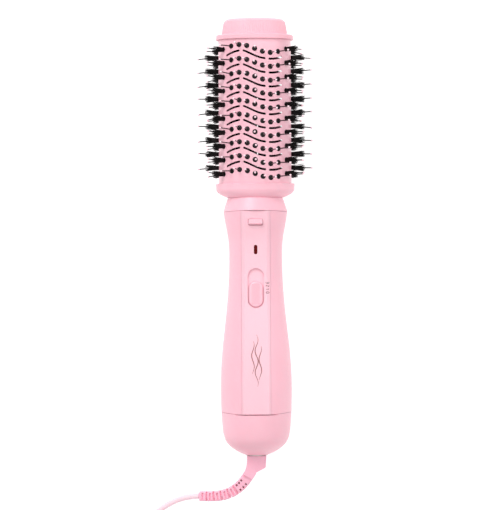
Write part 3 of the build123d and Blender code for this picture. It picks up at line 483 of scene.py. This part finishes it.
def make_ribs(looks):
    mesh = Mesh()
    for i in range(RIBS):
        centres, radii = [], []
        for part, radius in ((0.0, 0.28), (0.06, 0.46), (0.5, 0.48), (0.94, 0.46), (1.0, 0.28)):
            y, a, b, front_r = (low + (high - low) * part for low, high in zip(TIP_LOW, TIP_HIGH))
            x, z, nx, nz = oval_ring(a, b, front_r, i / RIBS)
            centres.append(tool(x - 0.30 * nx, y, z - 0.30 * nz))
            radii.append(radius * MM)
        mesh.rod(centres, radii, 8)
    piece = mesh.make("tip_ribs", [looks["cap"]])
    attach(piece, "brush_head")


# ---- prints on the panel -----------------------------------------------------------------------
INK_LIFT = 0.06                            # a print's height over the panel
ABOVE_TOOL, PANEL_HEIGHT = 60.0, 22.0      # where a ray starts, and where it lands if it misses


def on_panel(x, y):
    """The place of a print on the control panel, at x across and y along."""
    panel = NODES["control_panel"]
    back = panel.matrix_world.inverted()
    start, end = back @ tool(x, y, ABOVE_TOOL), back @ tool(x, y, 0)
    hit, place, _, _ = panel.ray_cast(start, (end - start).normalized())
    if not hit:
        return tool(x, y, PANEL_HEIGHT)
    return panel.matrix_world @ place + FRONT * INK_LIFT * MM


def add_ribbon(mesh, points, widths):
    """A printed stroke through points, lying on the panel."""
    first = len(mesh.points)
    for i, (x, y) in enumerate(points):
        x0, y0 = points[max(i - 1, 0)]
        x1, y1 = points[min(i + 1, len(points) - 1)]
        run = math.hypot(x1 - x0, y1 - y0)
        nx, ny = -(y1 - y0) / run, (x1 - x0) / run
        for side in (-0.5, 0.5):
            mesh.points.append(on_panel(x + nx * widths[i] * side, y + ny * widths[i] * side))
    for i in range(len(points) - 1):
        low = first + 2 * i
        mesh.face((low, low + 1, low + 3, low + 2))


# Strokes of each figure, in a cell 1 wide and 2 high.
FIGURES = {
    "0": [[(0, 0.2), (0, 1.8)], [(0, 2), (1, 2)], [(1, 1.8), (1, 0.2)], [(1, 0), (0, 0)]],
    "1": [[(0.5, 0), (0.5, 2)], [(0.5, 2), (0.1, 1.6)]],
    "2": [[(0, 1.95), (1, 1.95)], [(1, 1.9), (0, 0.1)], [(0, 0), (1, 0)]],
    "3": [[(0, 2), (1, 2)], [(1, 2), (1, 0)], [(0.2, 1), (1, 1)], [(0, 0), (1, 0)]],
}


FIGURE_PLACES = (138.1, 135.4, 132.8, 130.2)         # along the tool
FIGURE_FOOT, CELL_HIGH, CELL_WIDE, STROKE = 8.1, 1.15, 1.1, 0.36
STROKE_STEPS = 4


def make_marks(looks):
    """Four small setting figures beside the switch, read with the head to the right."""
    mesh = Mesh()
    for figure, middle in zip("3210", FIGURE_PLACES):
        for (u0, v0), (u1, v1) in FIGURES[figure]:
            points = []
            for i in range(STROKE_STEPS + 1):
                t = i / STROKE_STEPS
                u, v = u0 + (u1 - u0) * t, v0 + (v1 - v0) * t
                points.append((FIGURE_FOOT + CELL_HIGH * v, middle + CELL_WIDE * (0.5 - u)))
            add_ribbon(mesh, points, [STROKE] * len(points))
    piece = mesh.make("setting_marks", [looks["marks"]])
    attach(piece, "handle")


AIR_LINES = [(-2.6, 92.0, 66.0, 1.0, 0.4), (0.3, 97.0, 56.0, 1.2, 0.0), (3.2, 88.0, 61.0, 1.0, 0.8)]
AIR_STEPS, AIR_WAVE, AIR_THIN, AIR_SWELL = 44, 17.0, 0.16, 0.62


def make_motif(looks):
    """Three drifting air lines printed along the panel, thickest at their middles."""
    mesh = Mesh()
    for x, start, end, swing, phase in AIR_LINES:
        points, widths = [], []
        for i in range(AIR_STEPS + 1):
            part = i / AIR_STEPS
            y = start + (end - start) * part
            points.append((x + swing * math.sin(2 * math.pi * (start - y) / AIR_WAVE + phase), y))
            widths.append(AIR_THIN + AIR_SWELL * math.sin(math.pi * part) ** 0.8)
        add_ribbon(mesh, points, widths)
    piece = mesh.make("panel_motif", [looks["motif"]])
    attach(piece, "handle")


# ---- cord --------------------------------------------------------------------------------------
CORD_D = 4.4
# Places from the tail end's centre, as the CAD part has them; heights are from the surface.
CORD_ROUTE = [(-46.4, -32.9, 12.4), (-54.6, -33.4, 9.8), (-64.2, -36.0, 7.0), (-74.0, -40.9, 4.6),
              (-83.6, -48.2, 3.0), (-92.6, -57.4, 2.2), (-99.4, -69.0, 2.2), (-103.0, -81.6, 2.2),
              (-104.4, -94.5, 2.2)]
PLUG_ROUTE = [(-80.5, -135.9, 2.2), (-69.0, -136.6, 2.3), (-58.0, -136.9, 3.5), (-47.5, -136.2, 5.6),
              (-38.0, -135.9, 6.9)]
COIL_CENTRE = (-78.4, -104.0)
LANES = [18.7, 23.2, 27.7, 32.0]           # radii of the turns side by side
LEVELS = [2.25, 6.6, 10.95]                # heights of the turns on each other


COIL_START, COIL_TURNS, COIL_STEPS = 160.0, 10.295, 14     # degrees, turns, points a turn
COIL_ORDER = [(2, 0), (1, 0), (0, 0), (0, 1), (1, 1), (2, 1), (2, 2), (3, 2), (3, 1), (3, 0)]
LANE_KEPT, LANE_CHANGE = 0.72, 0.28        # shares of a turn


def coil_points():
    """The put-away length: each turn keeps to a lane and level, then eases over to the next."""
    points = []
    for i in range(1, int(COIL_TURNS * COIL_STEPS)):
        done = i / COIL_STEPS
        lane = min(int(done), len(COIL_ORDER) - 1)
        follow = min(lane + 1, len(COIL_ORDER) - 1)
        blend = min(1.0, max(0.0, (done - lane) - LANE_KEPT) / LANE_CHANGE)
        ease = blend * blend * (3 - 2 * blend)
        here, there = COIL_ORDER[lane], COIL_ORDER[follow]
        radius = LANES[here[0]] * (1 - ease) + LANES[there[0]] * ease
        height = LEVELS[here[1]] * (1 - ease) + LEVELS[there[1]] * ease
        angle = math.radians(COIL_START + 360 * done)
        points.append((COIL_CENTRE[0] + radius * math.cos(angle),
                       COIL_CENTRE[1] + radius * math.sin(angle), height))
    return points


def make_cord(looks):
    route = CORD_ROUTE[:-1] + coil_points() + PLUG_ROUTE[1:]
    curve = bpy.data.curves.new("mains_cord", "CURVE")
    curve.dimensions = "3D"
    spline = curve.splines.new("NURBS")
    spline.points.add(len(route) - 1)
    for point, (x, y, z) in zip(spline.points, route):
        point.co = (TAIL.x + x * MM, TAIL.y + y * MM, z * MM, 1)
    spline.order_u = 3
    spline.use_endpoint_u = True
    spline.resolution_u = 4
    curve.bevel_depth = CORD_D / 2 * MM
    curve.bevel_resolution = 5
    curve.use_fill_caps = True
    curve.materials.append(looks["cord"])
    piece = bpy.data.objects.new("mains_cord", curve)
    bpy.context.scene.collection.objects.link(piece)
    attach(piece, "cord")
    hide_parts("cord", "cord_coil", "plug_lead")
    x, y, z = CORD_ROUTE[0]


# ---- stage -------------------------------------------------------------------------------------
def make_stage():
    bpy.ops.mesh.primitive_plane_add(size=8, location=(0, 0, 0))
    floor = bpy.context.object
    floor.name = "floor"
    material, tree, shader = new_material("paper")
    shader.inputs["Base Color"].default_value = (0.45, 0.45, 0.45, 1)
    shader.inputs["Emission Color"].default_value = (1, 1, 1, 1)
    shader.inputs["Emission Strength"].default_value = 0.74
    shader.inputs["Roughness"].default_value = 0.9
    shader.inputs["Specular IOR Level"].default_value = 0.1
    floor.data.materials.append(material)


def add_light(name, place, size, watts):
    """A soft rectangular light aimed at the tool."""
    data = bpy.data.lights.new(name, "AREA")
    data.shape = "RECTANGLE"
    data.size, data.size_y = size
    data.energy = watts
    light = bpy.data.objects.new(name, data)
    light.location = place
    light.rotation_euler = (Vector((0, 0, 0)) - Vector(place)).to_track_quat("-Z", "Y").to_euler()
    bpy.context.scene.collection.objects.link(light)


def make_lights():
    add_light("key", (-0.7, 1.4, 1.5), (1.0, 1.0), 22)
    add_light("fill", (1.1, 0.4, 1.4), (1.2, 1.2), 4)
    add_light("top", (0.0, 0.1, 2.6), (1.6, 1.6), 10)
    world = bpy.data.worlds.new("studio")
    world.use_nodes = True
    world.node_tree.nodes["Background"].inputs["Color"].default_value = (1, 1, 1, 1)
    world.node_tree.nodes["Background"].inputs["Strength"].default_value = 0.67
    bpy.context.scene.world = world
    bpy.context.scene.view_settings.view_transform = "Standard"
    bpy.context.scene.view_settings.look = "None"


# ---- everything --------------------------------------------------------------------------------
make_camera()
looks = make_materials()
make_cord(looks)
for look, nodes in NODE_LOOKS.items():
    for node in nodes:
        dress(node, looks[look])
make_bristles(looks)
make_ribs(looks)
make_marks(looks)
make_motif(looks)
make_stage()
make_lights()
